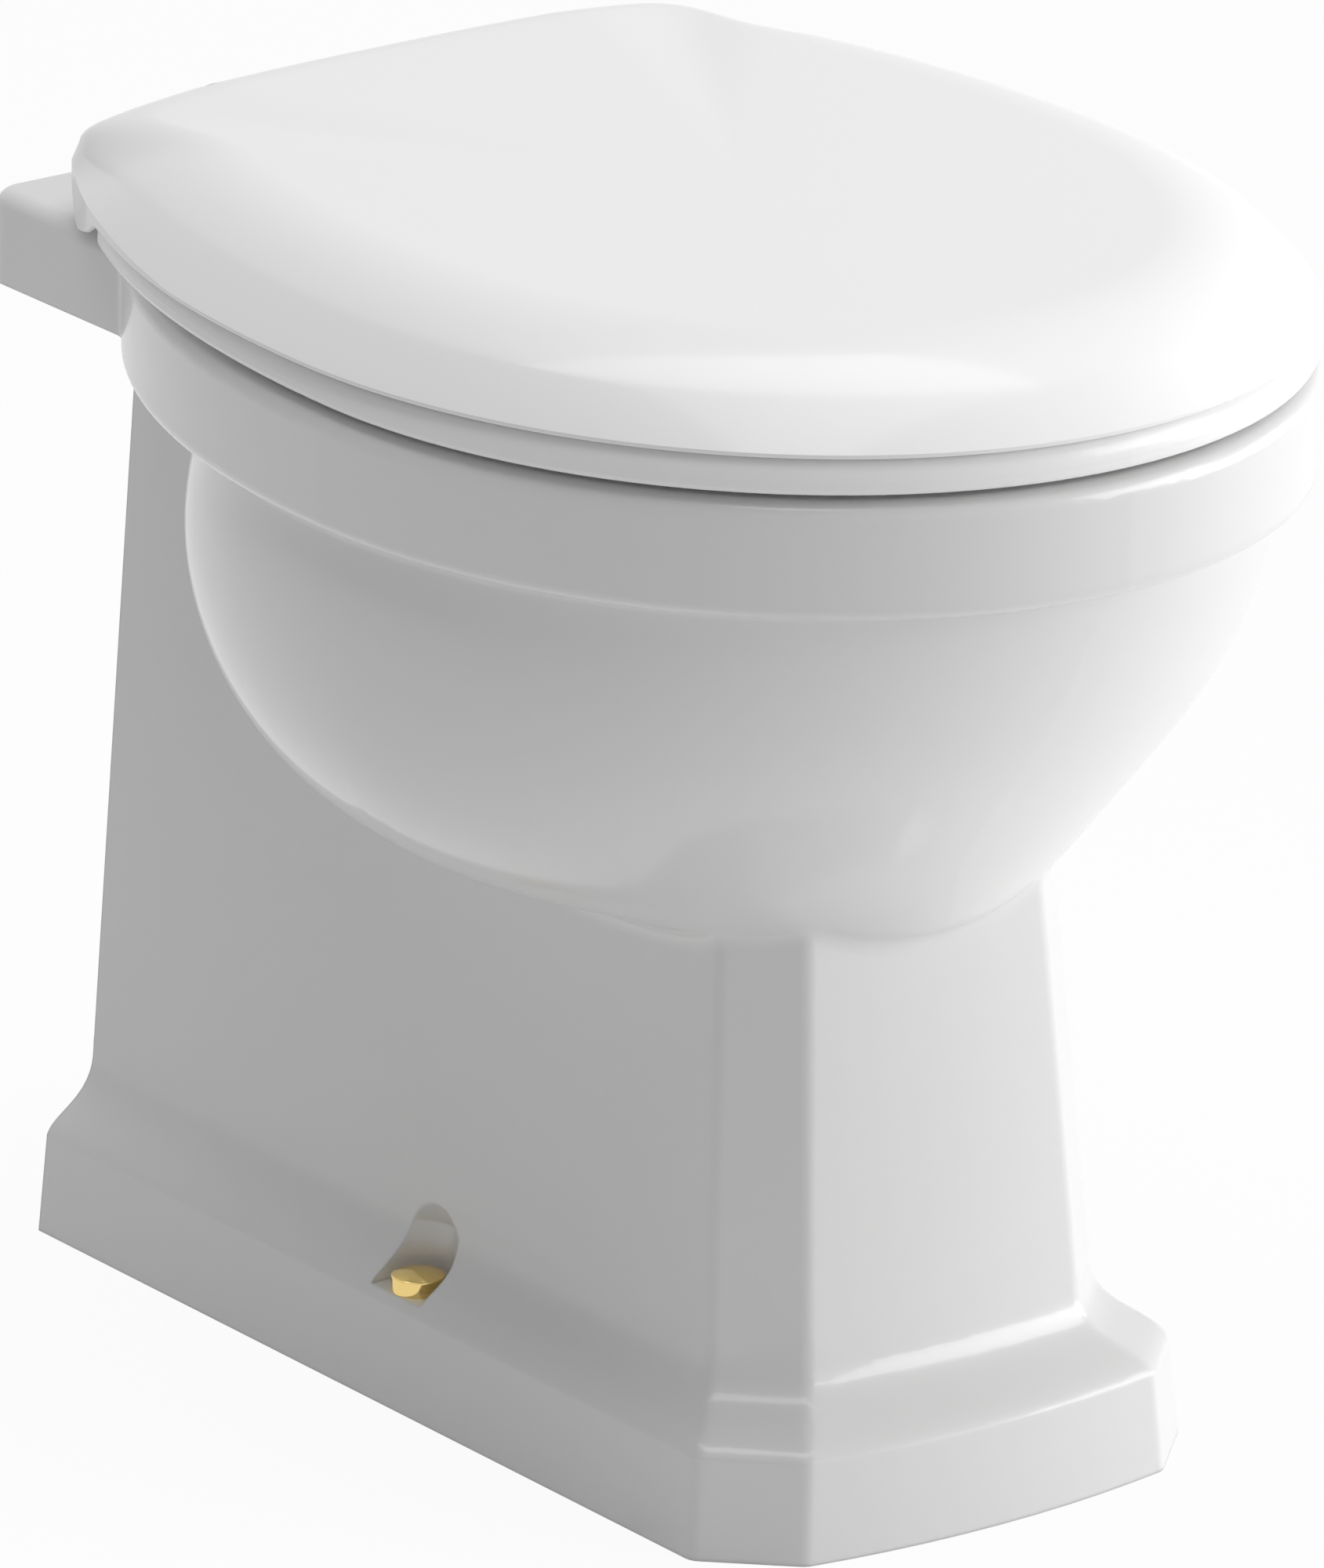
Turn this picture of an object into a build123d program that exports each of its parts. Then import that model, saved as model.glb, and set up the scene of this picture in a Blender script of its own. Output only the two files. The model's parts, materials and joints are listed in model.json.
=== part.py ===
from build123d import *
import os
from math import asin, cos, degrees, pi, radians, sin, sqrt

os.makedirs("parts", exist_ok=True)

# Back-to-wall toilet in millimetres. Modelled with the wall at y = 0 and the floor at z = 0.
# Everything is moved forward by half the depth on the way out.

# Overall
rim_height = 400.0
overrun = 20.0

# Foot: a plinth with bevelled front corners
plinth_height = 36.2
plinth_base = (107.5, 391.8, 78.25, 419.6)
plinth_top = (103.8, 389.1, 75.6, 416.9)
front_bow_radius = 419.0
corner_round = 7.0

# Shaft above the foot, narrower towards the deck
shaft_foot_z = 70.0
shaft_foot = (83.0, 369.1, 58.6, 393.5)
shaft_head = (62.3, 346.0, 42.6, 365.7)
cove_height_shares = (0.0, 0.13, 0.29, 0.46, 0.64, 0.82, 1.0)
cove_width_shares = (1.0, 0.84, 0.5, 0.22, 0.07, 0.02, 0.0)

# Deck and rim band
deck_half_width = 131.5
deck_thickness = 33.7
deck_underside = rim_height - deck_thickness
deck_corner = 12.0
band_drop = 8.3
band_underside = deck_underside - band_drop
band_half_width = 186.0
band_centre = 277.0
band_front = 212.0
band_rear = 272.0
band_end = 86.0
depth = band_centre + band_front
band_blend = 9.0
top_round = 6.5
bottom_round = 5.0
seam_round = 8.0
seam_tolerance = 0.02
step_round = 4.0

# Bowl outside: half width, reach forward and back from its own centre, at shares of the deck's height
bowl_centre = 270.0
bowl_height_shares = (0.546, 0.576, 0.628, 0.6962, 0.778, 0.8736, 0.9446, 1.0)
bowl_sections = (
    (60.0, 105.0, 70.0),
    (98.0, 122.0, 110.0),
    (139.0, 127.0, 156.0),
    (163.0, 143.0, 193.0),
    (175.0, 167.0, 213.0),
    (180.0, 189.0, 214.0),
    (178.0, 204.0, 207.0),
    (176.5, 210.0, 205.0),
)

# Bowl inside
mouth_centre = 280.0
mouth_half_width = 138.0
mouth_front = 165.0
mouth_rear = 130.0
cavity_height_shares = (0.0, 0.158, 0.283, 0.441, 0.658, 0.829, 1.0)
cavity_sections = (
    (58.0, 83.0, 75.0),
    (92.0, 102.0, 100.0),
    (128.0, 111.0, 115.0),
    (150.0, 131.0, 130.0),
    (160.0, 155.0, 143.0),
    (163.0, 171.0, 149.0),
    (164.0, 187.0, 150.0),
)
sump_wall = 12.0
sump_heights = (98.0, 160.0, 200.0)
sump_sections = (
    (34.0, 35.0, 35.0),
    (48.0, 60.0, 45.0),
    (58.0, 83.0, 75.0),
)

# Flush channel inside the rim
channel_inner = (150.0, 177.0, 142.0)
channel_outer = (172.0, 199.0, 164.0)
channel_roof_thickness = 14.0
channel_depth = 24.0
channel_roof = rim_height - channel_roof_thickness
channel_floor = channel_roof - channel_depth
channel_floor_thickness = 10.0
flush_hole_radius = 3.5
flush_hole_ring = (156.0, 179.0, 148.0)
flush_hole_count = 20
flush_hole_break = 2.0

# Flush inlet at the back
inlet_radius = 27.5
inlet_height = 320.0
inlet_length = 100.0
riser_half_width = 24.0
riser_front = 100.0
riser_rear = 60.0
riser_inset = 2.0
riser_reach = 128.0

# Trap and outlet
trap_bore = 27.0
trap_wall = 11.0
trap_bend = 42.0
trap_points = ((285.0, 128.0), (235.0, 82.0), (135.0, 229.0), (80.0, 180.0), (40.0, 180.0))
outlet_height = 180.0
outlet_outer_radius = 51.0
outlet_bore_radius = 43.0
outlet_length = 52.0
outlet_cone = 22.0
outlet_bore_length = 46.0

# Hollow of the pedestal
shaft_wall = 16.0
hollow_top = 195.0
pocket_half_width = 56.0
pocket_front = 82.0
pocket_top = 270.0

# Floor fixing in the two side notches
fixing_x = 91.4
fixing_y = 210.0
notch_floor = 39.6
notch_heights = (39.6, 60.0, 73.0)
notch_radii = (14.5, 15.5, 17.0)
notch_offsets = (0.0, 0.0, 11.0)
notch_outside = 130.0
screw_radius = 3.0
screw_tip = 0.5
screw_head_radius = 6.0
screw_head_height = 2.5
sleeve_radius = 5.0
sleeve_gap = 0.1
sleeve_length = 30.0
washer_radius = 8.0
washer_thickness = 1.6
cap_radius = 9.7
cap_side = 5.8
cap_rise = 2.0
cap_wall = 1.3
cap_round = 0.8

# Hinge line shared by seat and lid
hinge_y = 55.0
hinge_rise = 28.0
hinge_z = rim_height + hinge_rise
post_x = 77.5
post_thickness = 5.0
post_half_depth = 6.0
post_head_radius = 8.0
post_base_radius = 15.0
post_base_height = 6.0
gasket_thickness = 1.0
side_gap = 0.3
pin_radius = 3.0
pin_fit = 0.02
running_fit = 0.05
seat_gap = 0.05
knuckle_radius = 8.5
bush_radius = 6.0
seat_knuckle_start = 49.0
lid_knuckle_end = 106.0

# Deck fixing of the hinge
stud_radius = 3.0
stud_grip = 5.0
stud_reach = 18.3
stud_end = deck_underside - stud_reach
stud_bush_radius = 8.0
stud_bush_wall_gap = 0.05
stud_washer_radius = 11.0
stud_washer_thickness = 1.5
nut_hub_radius = 5.5
nut_height = 9.0
nut_wing_reach = 12.0
nut_wing_thickness = 2.0
nut_wing_height = 6.0

# Seat
seat_side_inset = 1.0
seat_front_inset = 0.5
seat_half_width = band_half_width - seat_side_inset
seat_centre = 281.5
seat_front = depth - seat_front_inset - seat_centre
seat_rear = 310.0
seat_back_edge = 84.0
seat_corner = 12.0
seat_lift = 3.0
seat_bottom = rim_height + seat_lift
seat_thickness = 15.0
seat_top_round = 10.0
seat_bottom_round = 2.5
ring_side_width = 69.0
ring_front_width = 61.5
hole_half_width = seat_half_width - ring_side_width
hole_centre = 280.0
hole_front = depth - seat_front_inset - ring_front_width - hole_centre
hole_rear = 130.0
hole_top_round = 7.0
hole_bottom_round = 3.0
arm_root_y = 98.0
arm_root_rise = 8.0
arm_root_z = seat_bottom + arm_root_rise
arm_root_radius = 6.0
buffer_radius = 7.0
buffer_plug_radius = 2.5
buffer_plug_depth = 5.0
seat_buffer_shares = (0.405, 0.675)
seat_buffer_depths = (440.0, 150.0)

# Lid: a bevelled brim and a low dome above it
lid_overhang = 3.0
lid_front_inset = 0.5
lid_half_width = seat_half_width + lid_overhang
lid_centre = 270.0
lid_front = depth - lid_front_inset - lid_centre
lid_rear = 314.0
lid_back_edge = 45.0
lid_corner = 10.0
lid_wall = 4.0
lid_lip_wall = 3.0
lid_lip_drop = 2.0
lid_lip_z = seat_bottom + seat_thickness - lid_lip_drop
lid_lip_inset = 1.0
lid_lip_rise = 1.5
brim_z = lid_lip_z + lid_lip_rise
brim_height = 15.5
brim_inset = 16.0
brim_bulge = 0.8
brim_shares = (0.0, 0.2, 0.4, 0.6, 0.8, 1.0)
dome_height = 14.0
dome_run = 40.0
dome_back_run = 27.0
dome_shares = (0.9, 0.75, 0.6, 0.45, 0.3, 0.15, 0.0)
lid_window_start = 48.5
lid_window_rise = 6.0
lid_window_top = hinge_z + lid_window_rise
lid_window_depth = 6.0
lid_slot_gap = 0.4
lid_slot_front = 63.0
knuckle_clearance = 0.4
skirt_back = 50.0
skirt_tip_back = 58.0
skirt_tip_front = 68.0
skirt_lift = 4.0
skirt_bottom = rim_height + skirt_lift
skirt_back_rise = 5.0
skirt_front = 98.0
skirt_front_rise = 12.0
skirt_height = 20.0
skirt_top = skirt_bottom + skirt_height
back_wall_rise = 8.0
lid_buffer_shares = (0.45, 0.777)
lid_buffer_depths = (437.0, 150.0)
lid_buffer_height = 6.0
lid_boss_radius = 9.0


def oval(half_width, centre, front, rear):
    """Face of two half ellipses back to back, front towards the room."""
    middle = (0, -centre)
    edges = [
        EllipticalCenterArc(middle, half_width, front, 180, arc_size=90),
        EllipticalCenterArc(middle, half_width, front, 270, arc_size=90),
        EllipticalCenterArc(middle, half_width, rear, 0, arc_size=90),
        EllipticalCenterArc(middle, half_width, rear, 90, arc_size=90),
    ]
    return make_face(edges)


def cut_oval(half_width, centre, front, rear, back_edge, corner):
    """The same oval cut off straight at the back, with rounded back corners."""
    middle = (0, -centre)
    turn = asin((centre - back_edge) / rear)
    side = half_width * cos(turn)
    edges = [
        EllipticalCenterArc(middle, half_width, front, 180, arc_size=90),
        EllipticalCenterArc(middle, half_width, front, 270, arc_size=90),
        EllipticalCenterArc(middle, half_width, rear, 0, arc_size=degrees(turn)),
        Line((side, -back_edge), (-side, -back_edge)),
        EllipticalCenterArc(middle, half_width, rear, 180 - degrees(turn), arc_size=degrees(turn)),
    ]
    face = make_face(edges)
    return fillet(face.vertices().group_by(Axis.Y)[-1], corner)


def foot_plan(half_width, bevel_start, front_half, front):
    """Plan of foot and shaft: straight sides, bevelled corners and a bowed front."""
    bow = front_bow_radius - sqrt(front_bow_radius**2 - front_half**2)
    sides = Polyline(
        (front_half, -front),
        (half_width, -bevel_start),
        (half_width, 0),
        (-half_width, 0),
        (-half_width, -bevel_start),
        (-front_half, -front),
    )
    face = make_face([sides, ThreePointArc((-front_half, -front), (0, -front - bow), (front_half, -front))])
    return fillet(face.vertices().group_by(Axis.Y)[0] + face.vertices().group_by(Axis.Y)[1], corner_round)


def shrink(plan, wall):
    """Numbers of a foot plan moved in by the wall thickness."""
    half_width, bevel_start, front_half, front = plan
    return (half_width - wall, bevel_start - wall / 2, front_half - wall / 2, front - wall)


def blend(low, high, share):
    """Numbers between two foot plans."""
    return tuple(b + (a - b) * share for a, b in zip(low, high))


def stack(faces, heights, ruled=True):
    """Solid through flat faces, each lifted to its height."""
    return loft([Pos(0, 0, z) * face for face, z in zip(faces, heights)], ruled=ruled)


def slab(face, low, high):
    """Face pulled straight up from one height to another."""
    return extrude(Pos(0, 0, low) * face, amount=high - low, dir=(0, 0, 1))


def block(x_low, x_high, y_low, y_high, z_low, z_high):
    """Box between six planes."""
    centre = ((x_low + x_high) / 2, (y_low + y_high) / 2, (z_low + z_high) / 2)
    return Pos(*centre) * Box(x_high - x_low, y_high - y_low, z_high - z_low)


def post(x, y, radius, low, high):
    """Upright round bar."""
    return Pos(x, y, (low + high) / 2) * Cylinder(radius, high - low)


def backwards(x, z, radius, start, end):
    """Round bar along y, start and end measured out from the wall."""
    plane = Plane(origin=(x, -start, z), x_dir=(1, 0, 0), z_dir=(0, 1, 0))
    return extrude(plane * Circle(radius), amount=start - end)


def across(radius, x_low, x_high):
    """Round bar along the hinge line."""
    plane = Plane(origin=(x_low, -hinge_y, hinge_z), x_dir=(0, 1, 0), z_dir=(1, 0, 0))
    return extrude(plane * Circle(radius), amount=x_high - x_low)


def sideways(face, x_low, x_high):
    """Face drawn in y and z, pulled out between two x planes."""
    plane = Plane(origin=(x_low, 0, 0), x_dir=(0, 1, 0), z_dir=(1, 0, 0))
    return extrude(plane * face, amount=x_high - x_low)


def both(shape):
    """A piece with its mirror image on the other side."""
    return shape + mirror(shape, about=Plane.YZ)


def lies_on(edge, solid):
    """Whether the middle of an edge touches the skin of a solid."""
    middle = Vertex(*(edge @ 0.5))
    return min(face.distance_to(middle) for face in solid.faces()) < seam_tolerance


def save(name, shape):
    """One file per piece, moved so that the middle of the depth is at y = 0."""
    solids = (Pos(0, depth / 2, 0) * shape).solids()
    export_step(solids[0] if len(solids) == 1 else Compound(children=list(solids)), f"parts/{name}.step")


# Pan, outside
plinth = stack([foot_plan(*plinth_base), foot_plan(*plinth_top)], [0, plinth_height])
cove_plans = [foot_plan(*blend(plinth_top, shaft_foot, share)) for share in cove_width_shares]
cove_rise = shaft_foot_z - plinth_height
cove_heights = [plinth_height + cove_rise * share for share in cove_height_shares]
cove = stack(cove_plans, cove_heights, ruled=False)
shaft = stack([foot_plan(*shaft_foot), foot_plan(*shaft_head)], [shaft_foot_z, deck_underside])
bowl_heights = [deck_underside * share for share in bowl_height_shares]
bowl_faces = [oval(width, bowl_centre, front, rear) for width, front, rear in bowl_sections]
bowl = stack(bowl_faces, bowl_heights, ruled=False)
band_face = oval(band_half_width, band_centre, band_front, band_rear)
deck_face = Pos(0, -band_centre / 2) * Rectangle(2 * deck_half_width, band_centre)
head_face = band_face + deck_face
head_face = fillet(head_face.vertices().group_by(Axis.Y)[-2], band_blend)
head_face = fillet(head_face.vertices().group_by(Axis.Y)[-1], deck_corner)
head = slab(head_face, deck_underside, rim_height)
head = fillet(head.faces().sort_by(Axis.Z)[-1].outer_wire().edges(), top_round)
lower_band = slab(band_face, band_underside, deck_underside)
lower_band = fillet(lower_band.faces().sort_by(Axis.Z)[0].edges(), bottom_round)
room = depth + overrun
lower_band &= block(-room, room, -room, -band_end, 0, rim_height)
pan = plinth + cove + shaft + bowl
curved = pan.edges().filter_by(GeomType.BSPLINE)
seam = [edge for edge in curved if lies_on(edge, bowl) and lies_on(edge, shaft)]
pan = fillet([edge for edge in seam if (edge @ 0.5).Z < band_underside], seam_round)
pan += lower_band + head
curved = pan.edges().filter_by(GeomType.BSPLINE)
level = [edge for edge in curved if abs((edge @ 0.5).Z - band_underside) < seam_tolerance]
pan = fillet([edge for edge in level if lies_on(edge, bowl)], step_round)

# Hollow of the pedestal, open to the floor and to the wall
hollow_share = (deck_underside - hollow_top) / (deck_underside - shaft_foot_z)
hollow_plan = blend(shaft_foot, shaft_head, hollow_share)
hollow = stack(
    [foot_plan(*shrink(shaft_foot, shaft_wall)), foot_plan(*shrink(hollow_plan, shaft_wall))],
    [shaft_foot_z, hollow_top],
)
hollow += slab(foot_plan(*shrink(shaft_foot, shaft_wall)), -overrun, shaft_foot_z)
hollow -= block(-room, room, -shaft_wall, overrun, -room, room)
hollow += block(-pocket_half_width, pocket_half_width, -pocket_front, overrun, -overrun, pocket_top)
pan -= hollow

# Trapway in the hollow: sump shell, trap tube and outlet spigot in one piece
sump_walls = [oval(w + sump_wall, mouth_centre, f + sump_wall, r + sump_wall) for w, f, r in sump_sections]
sump = stack(sump_walls, [sump_heights[0] - sump_wall] + list(sump_heights[1:]))
trap_path = FilletPolyline(*[(0, -y, z) for y, z in trap_points], radius=trap_bend)
trap_start = Plane(origin=trap_path @ 0, z_dir=trap_path % 0)
trap_tube = sweep(trap_start * Circle(trap_bore + trap_wall), path=trap_path)
trap_way = sweep(trap_start * Circle(trap_bore), path=trap_path)
outlet_start = outlet_length + outlet_cone
wide_end = Plane(origin=(0, -outlet_length, outlet_height), x_dir=(1, 0, 0), z_dir=(0, 1, 0))
narrow_end = Plane(origin=(0, -outlet_start, outlet_height), x_dir=(1, 0, 0), z_dir=(0, 1, 0))
spigot = loft([narrow_end * Circle(trap_bore + trap_wall), wide_end * Circle(outlet_outer_radius)], ruled=True)
spigot += backwards(0, outlet_height, outlet_outer_radius, outlet_length, 0)

# Ways cut through the ceramic
cavity_top = channel_floor - channel_floor_thickness
cavity_faces = [oval(width, mouth_centre, front, rear) for width, front, rear in cavity_sections]
cavity_heights = [sump_heights[-1] + (cavity_top - sump_heights[-1]) * share for share in cavity_height_shares]
cavity = stack(cavity_faces, cavity_heights, ruled=False)
cavity += stack([oval(width, mouth_centre, front, rear) for width, front, rear in sump_sections], sump_heights)
mouth_face = oval(mouth_half_width, mouth_centre, mouth_front, mouth_rear)
mouth = slab(mouth_face, cavity_top - overrun, rim_height + overrun)
outlet_bore = backwards(0, outlet_height, outlet_bore_radius, outlet_bore_length, -overrun)
channel = slab(oval(channel_outer[0], mouth_centre, channel_outer[1], channel_outer[2]), channel_floor, channel_roof)
channel -= slab(oval(channel_inner[0], mouth_centre, channel_inner[1], channel_inner[2]), channel_floor, channel_roof)
inlet = backwards(0, inlet_height, inlet_radius, inlet_length, -overrun)
riser_top = channel_roof - riser_inset
riser_floor = channel_floor + riser_inset
inlet += block(-riser_half_width, riser_half_width, -riser_front, -riser_rear, inlet_height, riser_top)
inlet += block(-riser_half_width, riser_half_width, -riser_reach, -riser_rear, riser_floor, riser_top)
save("trapway", ((sump + trap_tube + spigot) & hollow) - cavity - trap_way - outlet_bore)
pan -= cavity + mouth
pan -= trap_way + outlet_bore
pan -= channel
pan -= inlet
for index in range(flush_hole_count):
    turn = 2 * pi * (index + 1 / 2) / flush_hole_count
    reach = flush_hole_ring[1] if sin(turn) < 0 else flush_hole_ring[2]
    hole_x = flush_hole_ring[0] * cos(turn)
    hole_y = reach * sin(turn) - mouth_centre
    pan -= post(hole_x, hole_y, flush_hole_radius, cavity_top - flush_hole_break, channel_floor + flush_hole_break)



def notch_plan(radius, offset):
    """Plan of the notch at one height: round towards the shaft, open to the side."""
    x = fixing_x + offset
    bow = ThreePointArc((x, -radius), (x - radius, 0), (x, radius))
    flanks = Polyline((x, radius), (notch_outside, radius), (notch_outside, -radius), (x, -radius))
    return make_face([bow, flanks])


# Notches, screw holes and stud holes
notch_faces = [notch_plan(radius, offset) for radius, offset in zip(notch_radii, notch_offsets)]
notch = Pos(0, -fixing_y, 0) * stack(notch_faces, notch_heights)
notch += post(fixing_x, -fixing_y, sleeve_radius + sleeve_gap, -overrun, notch_floor + overrun / 2)
pan -= both(notch)
pan -= both(post(post_x, -hinge_y, stud_bush_radius + stud_bush_wall_gap, deck_underside - overrun, rim_height + overrun))
save("pan", pan)

# Floor screws with sleeves, washers and caps
washer_top = notch_floor + washer_thickness
floor_screw = post(fixing_x, -fixing_y, screw_radius, screw_tip, washer_top)
floor_screw += post(fixing_x, -fixing_y, screw_head_radius, washer_top, washer_top + screw_head_height)
save("floor_screws", both(floor_screw))
sleeve = post(fixing_x, -fixing_y, sleeve_radius, notch_floor - sleeve_length, notch_floor)
sleeve -= post(fixing_x, -fixing_y, screw_radius + sleeve_gap, 0, rim_height)
save("floor_screw_sleeves", both(sleeve))
washer = post(fixing_x, -fixing_y, washer_radius, notch_floor, washer_top)
washer -= post(fixing_x, -fixing_y, screw_radius + sleeve_gap, 0, rim_height)
save("floor_screw_washers", both(washer))
dome_radius = (cap_radius**2 + cap_rise**2) / (2 * cap_rise)
dome_centre = cap_side + cap_rise - dome_radius
dome_half_turn = asin(cap_radius / dome_radius) / 2
dome_middle = (dome_radius * sin(dome_half_turn), dome_centre + dome_radius * cos(dome_half_turn))
cap_profile = make_face(
    [
        Polyline((0, cap_side + cap_rise), (0, 0), (cap_radius, 0), (cap_radius, cap_side)),
        ThreePointArc((cap_radius, cap_side), dome_middle, (0, cap_side + cap_rise)),
    ]
)
cap_profile = fillet(cap_profile.vertices().group_by(Axis.X)[-1].sort_by(Axis.Y)[-1], cap_round)
cap = revolve(Plane.XZ * cap_profile, axis=Axis.Z)
cap -= Pos(0, 0, (cap_side - cap_wall) / 2) * Cylinder(cap_radius - cap_wall, cap_side - cap_wall)
cap_left = Pos(-fixing_x, -fixing_y, notch_floor) * cap
cap_right = Pos(fixing_x, -fixing_y, notch_floor) * cap
save("cap_left", cap_left)
save("cap_right", cap_right)

# Hinge posts and what holds them on the deck
gasket_top = rim_height + gasket_thickness
base_top = gasket_top + post_base_height
gasket = post(post_x, -hinge_y, post_base_radius, rim_height, gasket_top)
gasket -= post(post_x, -hinge_y, stud_radius + sleeve_gap, 0, hinge_z)
save("hinge_gaskets", both(gasket))
post_low = post_x - post_thickness / 2
post_high = post_x + post_thickness / 2
hinge_post = post(post_x, -hinge_y, post_base_radius, gasket_top, base_top)
hinge_post = fillet(hinge_post.edges().group_by(Axis.Z)[-1], gasket_thickness)
hinge_post += block(post_low, post_high, -hinge_y - post_half_depth, post_half_depth - hinge_y, gasket_top, hinge_z)
hinge_post += across(post_head_radius, post_low, post_high)
hinge_post -= across(pin_radius + pin_fit, post_low - overrun, post_high + overrun)
hinge_post -= post(post_x, -hinge_y, stud_radius + pin_fit, 0, gasket_top + stud_grip)
save("hinge_posts", both(hinge_post))
save("hinge_pins", both(across(pin_radius, seat_knuckle_start, lid_knuckle_end)))
save("hinge_studs", both(post(post_x, -hinge_y, stud_radius, stud_end, gasket_top + stud_grip)))
stud_hole = post(post_x, -hinge_y, stud_radius + sleeve_gap, 0, hinge_z)
save("stud_bushes", both(post(post_x, -hinge_y, stud_bush_radius, deck_underside, rim_height) - stud_hole))
washer_low = deck_underside - stud_washer_thickness
save("stud_washers", both(post(post_x, -hinge_y, stud_washer_radius, washer_low, deck_underside) - stud_hole))
nut = post(post_x, -hinge_y, nut_hub_radius, washer_low - nut_height, washer_low)
wing_low = washer_low - nut_height
nut += block(
    post_x - nut_wing_reach,
    post_x + nut_wing_reach,
    -hinge_y - nut_wing_thickness / 2,
    nut_wing_thickness / 2 - hinge_y,
    wing_low,
    wing_low + nut_wing_height,
)
save("wing_nuts", both(nut - post(post_x, -hinge_y, stud_radius + pin_fit, 0, hinge_z)))

# Seat with two arms up to the hinge line
seat_top = seat_bottom + seat_thickness
seat_buffer_places = [(seat_half_width * share, y) for share, y in zip(seat_buffer_shares, seat_buffer_depths)]
seat_face = cut_oval(seat_half_width, seat_centre, seat_front, seat_rear, seat_back_edge, seat_corner)
seat = slab(seat_face, seat_bottom, seat_top)
seat = fillet(seat.faces().sort_by(Axis.Z)[-1].edges(), seat_top_round)
seat = fillet(seat.faces().sort_by(Axis.Z)[0].edges(), seat_bottom_round)
seat -= slab(oval(hole_half_width, hole_centre, hole_front, hole_rear), seat_bottom - overrun, seat_top + overrun)
seat = fillet(seat.faces().sort_by(Axis.Z)[-1].inner_wires()[0].edges(), hole_top_round)
seat = fillet(seat.faces().sort_by(Axis.Z)[0].inner_wires()[0].edges(), hole_bottom_round)
knuckle_ring = Pos(-hinge_y, hinge_z) * Circle(knuckle_radius)
arm_root = Pos(-arm_root_y, arm_root_z) * Circle(arm_root_radius)
arm_face = make_hull(knuckle_ring.edges() + arm_root.edges())
seat += both(sideways(arm_face, seat_knuckle_start, post_low - side_gap))
seat -= both(across(bush_radius + seat_gap, seat_knuckle_start - overrun, post_low + overrun))
for x, y in seat_buffer_places:
    seat -= both(post(x, -y, buffer_plug_radius + sleeve_gap, 0, seat_bottom + buffer_plug_depth + sleeve_gap))
save("seat_ring", seat)


def buffer(x, y, low, high, plug_end):
    """Round pad with a plug that holds it in the plastic above."""
    return post(x, -y, buffer_radius, low, high) + post(x, -y, buffer_plug_radius, low, plug_end)


plug_end = seat_bottom + buffer_plug_depth
pads = [both(buffer(x, y, rim_height, seat_bottom, plug_end)) for x, y in seat_buffer_places]
save("seat_buffers", pads[0] + pads[1])
seat_bush = across(bush_radius, seat_knuckle_start, post_low - side_gap)
seat_bush -= across(pin_radius + running_fit, 0, lid_knuckle_end)
save("seat_hinge_bush", seat_bush)
save("seat_damper", mirror(seat_bush, about=Plane.YZ))


def lid_face(inset, back_edge):
    """Plan of the lid moved in by an inset, cut off at its back edge."""
    sizes = (lid_half_width - inset, lid_centre, lid_front - inset, lid_rear - inset)
    return cut_oval(*sizes, back_edge, lid_corner)


def lid_body(wall):
    """Bevelled brim and a dome that is part of a circle, as one solid; a wall above zero gives the inside."""
    start = lid_lip_wall if wall else 0
    faces = [lid_face(start if wall else lid_lip_inset, lid_back_edge + wall)]
    heights = [lid_lip_z - (overrun if wall else 0)]
    for share in brim_shares:
        faces.append(lid_face(start + (brim_inset + wall - start) * share, lid_back_edge + wall))
        heights.append(brim_z + (brim_height - wall) * share + 4 * brim_bulge * share * (1 - share))
    radius = (dome_run**2 + dome_height**2) / (2 * dome_height)
    widest = asin(dome_run / radius)
    for share in dome_shares:
        moved = dome_run - radius * sin(widest * share)
        back_edge = lid_back_edge + wall + moved * dome_back_run / dome_run
        faces.append(lid_face(brim_inset + wall + moved, back_edge))
        heights.append(brim_z + brim_height - wall + dome_height - radius * (1 - cos(widest * share)))
    return stack(faces, heights)


# Lid shell
lid_outside = lid_body(0)
lid = lid_outside - lid_body(lid_wall)
lid -= across(knuckle_radius + knuckle_clearance, -post_high, post_high)
window_front = lid_back_edge + lid_window_depth
window = block(lid_window_start, post_high + side_gap, -window_front, 0, 0, lid_window_top)
lid -= both(window)

# Skirt: side plates that reach down beside the deck, and the back wall between the knuckles
skirt_ring = slab(lid_face(0, lid_back_edge), skirt_bottom, skirt_top)
skirt_ring -= slab(lid_face(lid_wall, lid_back_edge + lid_wall), skirt_bottom, skirt_top)
side_view = make_face(
    Polyline(
        (-skirt_back, skirt_top),
        (-skirt_back, skirt_bottom + skirt_back_rise),
        (-skirt_tip_back, skirt_bottom),
        (-skirt_tip_front, skirt_bottom),
        (-skirt_front, skirt_bottom + skirt_front_rise),
        (-skirt_front, skirt_top),
        close=True,
    )
)
lid += skirt_ring & both(sideways(side_view, lid_knuckle_end, room))
back_wall_bottom = skirt_bottom + back_wall_rise
back_wall = block(-lid_window_start, lid_window_start, -window_front, 0, back_wall_bottom, skirt_top)
lid += skirt_ring & back_wall

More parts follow.
